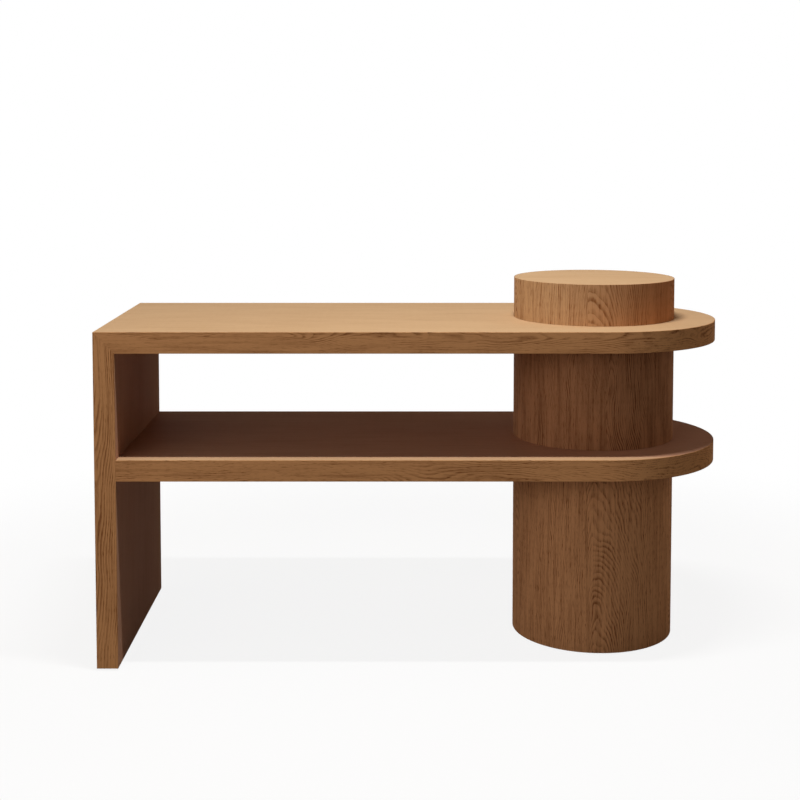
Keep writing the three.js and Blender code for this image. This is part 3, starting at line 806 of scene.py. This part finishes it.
def makeDrumWrap(name, node, material):
    low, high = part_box(node)
    bpy.ops.mesh.primitive_cylinder_add(
        vertices=drumWrap["facets"], radius=drumRadius, depth=high.z - low.z,
        location=(drumAxis, 0, (low.z + high.z) / 2))
    piece = adopt(name)
    pick(piece, "FACE", lambda face: facesUp(face) or facesDown(face))
    bpy.ops.mesh.inset(thickness=drumWrap["wall"])
    bpy.ops.mesh.bridge_edge_loops()

    def onRim(edge):
        reach = [math.hypot(v.co.x - drumAxis, v.co.y) for v in edge.verts]
        return isLevel(edge) and min(reach) > drumRadius - drumWrap["wall"] / 2

    easeEdges(piece, drumWrap["arris"], drumWrap["arrisSteps"], onRim)
    closeMesh()
    hangOn(piece, material, "table", "oak", node)


def makeDrumLid(name, node, material):
    low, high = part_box(node)
    middle = (low.z + high.z) / 2
    bpy.ops.mesh.primitive_cylinder_add(
        vertices=drumWrap["facets"], radius=drumRadius - drumWrap["wall"] - drumLid["clearance"],
        depth=high.z - low.z, location=(drumAxis, 0, middle))
    piece = adopt(name)
    easeEdges(piece, drumLid["arris"], drumLid["arrisSteps"],
              lambda edge: min(v.co.z for v in edge.verts) > middle)
    closeMesh()
    hangOn(piece, material, "table", "oak", node)


makeDrumWrap("lowerDrumWrap", "lower_drum_wrap", oakLowerDrum)
makeDrumWrap("middleDrumWrap", "middle_drum_wrap", oakMiddleDrum)
makeDrumWrap("upperDrumWrap", "upper_drum_wrap", oakUpperDrum)
makeDrumLid("upperDrumLid", "upper_drum_lid", oakFace)
print("drums modelled")


# levelling feet: a moulded pad snapped over the button of a threaded stem

levellingPad = {
    "facets": 48, "edge": 1.2 * mm, "edgeSteps": 4, "mouth": 4.3 * mm, "socket": 6.3 * mm,
    "lip": 1.0 * mm, "floor": 1.4 * mm, "treadWidth": 4.0 * mm, "treadRecess": 0.35 * mm,
}
levellingStem = {
    "facets": 32, "buttonHeight": 1.7 * mm, "edge": 0.25 * mm, "edgeSteps": 2, "core": 3.25 * mm,
    "crest": 4.0 * mm, "point": 0.9 * mm, "pitch": 1.25 * mm, "sunk": 0.2 * mm, "windSteps": 24,
}
threadedInsert = {
    "facets": 40, "edge": 0.3 * mm, "edgeSteps": 2, "flange": 1.5 * mm, "barrel": 6.0 * mm,
    "bore": 4.2 * mm,
}
footCount = 5


def footSpan(node):
    low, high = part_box(node)
    return (high.x - low.x) / 2, low.z, high.z


def extrudeUp(distance):
    bpy.ops.mesh.extrude_region_move(TRANSFORM_OT_translate={"value": (0, 0, distance)})


def makePad():
    radius, base, top = footSpan("foot_pad_1")
    height = top - base
    bpy.ops.mesh.primitive_cylinder_add(
        vertices=levellingPad["facets"], radius=radius, depth=height, location=(0, 0, base + height / 2))
    pad = adopt("levellingPad")
    easeEdges(pad, levellingPad["edge"], levellingPad["edgeSteps"], isLevel)
    pick(pad, "FACE", facesUp)
    bpy.ops.mesh.inset(thickness=radius - levellingPad["edge"] - levellingPad["mouth"])
    extrudeUp(-levellingPad["lip"])
    extrudeUp(0)
    wider = levellingPad["socket"] / levellingPad["mouth"]
    bpy.ops.transform.resize(value=(wider, wider, 1), center_override=(0, 0, top - levellingPad["lip"]))
    extrudeUp(levellingPad["floor"] + levellingPad["lip"] - height)

    def isTread(face):
        return facesDown(face) and face.calc_center_median().z < base + hairline

    pick(pad, "FACE", isTread)
    bpy.ops.mesh.inset(thickness=levellingPad["treadWidth"])
    bpy.ops.mesh.inset(thickness=levellingPad["treadRecess"])
    bpy.ops.transform.translate(value=(0, 0, levellingPad["treadRecess"]))
    closeMesh()
    return pad


def makeInsert():
    flange, base, top = footSpan("foot_insert_1")
    thick = threadedInsert["flange"]
    barrel = threadedInsert["barrel"]
    bore = threadedInsert["bore"]
    bpy.ops.mesh.primitive_cylinder_add(
        vertices=threadedInsert["facets"], radius=flange, depth=thick, location=(0, 0, base + thick / 2))
    insert = adopt("threadedInsert")
    easeEdges(insert, threadedInsert["edge"], threadedInsert["edgeSteps"], isLevel)
    pick(insert, "FACE", facesUp)
    bpy.ops.mesh.inset(thickness=flange - threadedInsert["edge"] - barrel)
    extrudeUp(top - base - thick)
    bpy.ops.mesh.inset(thickness=barrel - bore)
    pick(insert, "FACE", facesDown)
    bpy.ops.mesh.inset(thickness=flange - threadedInsert["edge"] - bore)
    pick(insert, "FACE", lambda face: len(face.verts) > 4)  # both ends of the bore
    bpy.ops.mesh.bridge_edge_loops()
    closeMesh()
    return insert


def makeStem():
    button, base, top = footSpan("foot_stem_1")
    rise = levellingStem["buttonHeight"]
    bpy.ops.mesh.primitive_cylinder_add(
        vertices=levellingStem["facets"], radius=button, depth=rise, location=(0, 0, base + rise / 2))
    stem = adopt("levellingStem")
    easeEdges(stem, levellingStem["edge"], levellingStem["edgeSteps"], isLevel)
    pick(stem, "FACE", facesUp)
    bpy.ops.mesh.inset(thickness=button - levellingStem["edge"] - levellingStem["core"])
    extrudeUp(top - base - rise - levellingStem["point"])
    extrudeUp(levellingStem["point"])
    slim = 1 - levellingStem["point"] / levellingStem["core"]
    bpy.ops.transform.resize(value=(slim, slim, 1), center_override=(0, 0, top))
    closeMesh()
    bpy.ops.object.select_all(action="DESELECT")
    thread = makeThread(base + rise + levellingStem["pitch"] / 2, top - levellingStem["point"])
    thread.select_set(True)
    stem.select_set(True)
    bpy.context.view_layer.objects.active = stem
    bpy.ops.object.join()
    return stem


def makeThread(start, end):
    # a three-cornered wire wound up the core, its inner side sunk in it
    deep = levellingStem["core"] - levellingStem["sunk"]
    reach = (levellingStem["crest"] - deep) / 1.5  # a triangle is one and a half times its radius deep
    bpy.ops.mesh.primitive_circle_add(
        vertices=3, radius=reach, location=(deep + reach / 2, 0, start),
        rotation=(math.pi / 2, math.pi / 2, 0))
    thread = adopt("thread")
    bpy.ops.object.mode_set(mode="OBJECT")
    wind = thread.modifiers.new("wind", "SCREW")
    wind.screw_offset = levellingStem["pitch"]
    wind.iterations = int((end - start) / levellingStem["pitch"])
    wind.steps = wind.render_steps = levellingStem["windSteps"]
    wind.use_merge_vertices = False
    bpy.ops.object.modifier_apply(modifier=wind.name)
    bpy.ops.object.mode_set(mode="EDIT")
    bpy.ops.mesh.select_all(action="SELECT")
    bpy.ops.mesh.fill_holes(sides=3)
    closeMesh()
    return thread


def copyToFeet(pattern, name, node, body, material, slotName):
    for number in range(1, footCount + 1):
        bpy.ops.object.select_all(action="DESELECT")
        pattern.select_set(True)
        bpy.context.view_layer.objects.active = pattern
        bpy.ops.object.duplicate(linked=False)
        piece = bpy.context.object
        piece.name = piece.data.name = name + str(number)
        centre = middleOf(node + str(number))
        bpy.ops.transform.translate(value=(centre.x, centre.y, 0))
        bpy.ops.object.transform_apply(location=True, rotation=True, scale=True)
        hangOn(piece, material, body.format(number), slotName, node + str(number))
    bpy.data.objects.remove(pattern)


copyToFeet(makePad(), "levellingPad", "foot_pad_", "pad_{}", blackNylon, "nylon")
copyToFeet(makeStem(), "levellingStem", "foot_stem_", "stem_{}", zincSteel, "steel")
copyToFeet(makeInsert(), "threadedInsert", "foot_insert_", "table", zincSteel, "steel")
print("feet modelled")


# the joinery and hardware that stay as they came

def dress(names, material):
    for name in names:
        node = nodes[name]
        node.data.materials.clear()
        node.data.materials.append(material)


dress(("top_upper_skin", "top_lower_skin"), oakFace)
dress(("shelf_upper_skin", "shelf_lower_skin"), oakShelf)
dress(("gable_outer_skin",), oakGable)
dress(("gable_inner_skin",), oakGableInside)
dress(("gable_bottom_band",), oakGableBand)
dress(("top_core_frame", "top_nose_former", "shelf_core_frame", "shelf_nose_former"), rawPly)
dress(("gable_core_frame",), uprightPly)
dress([name for name in nodes if name.endswith("_disc")], rawPly)
dress([name for name in nodes if name.endswith("_shell")], bentPly)
dress(("mitre_tongue", "shelf_dowel_front", "shelf_dowel_rear"), rawBeech)
dress([name for name in nodes if name.startswith(("tie_rod", "shelf_cam"))], zincSteel)
print("joinery and hardware finished")

makeCamera()
makeLights()
makeWorld()
makeFloor()
scene.view_settings.view_transform = "Standard"
print("studio lit")
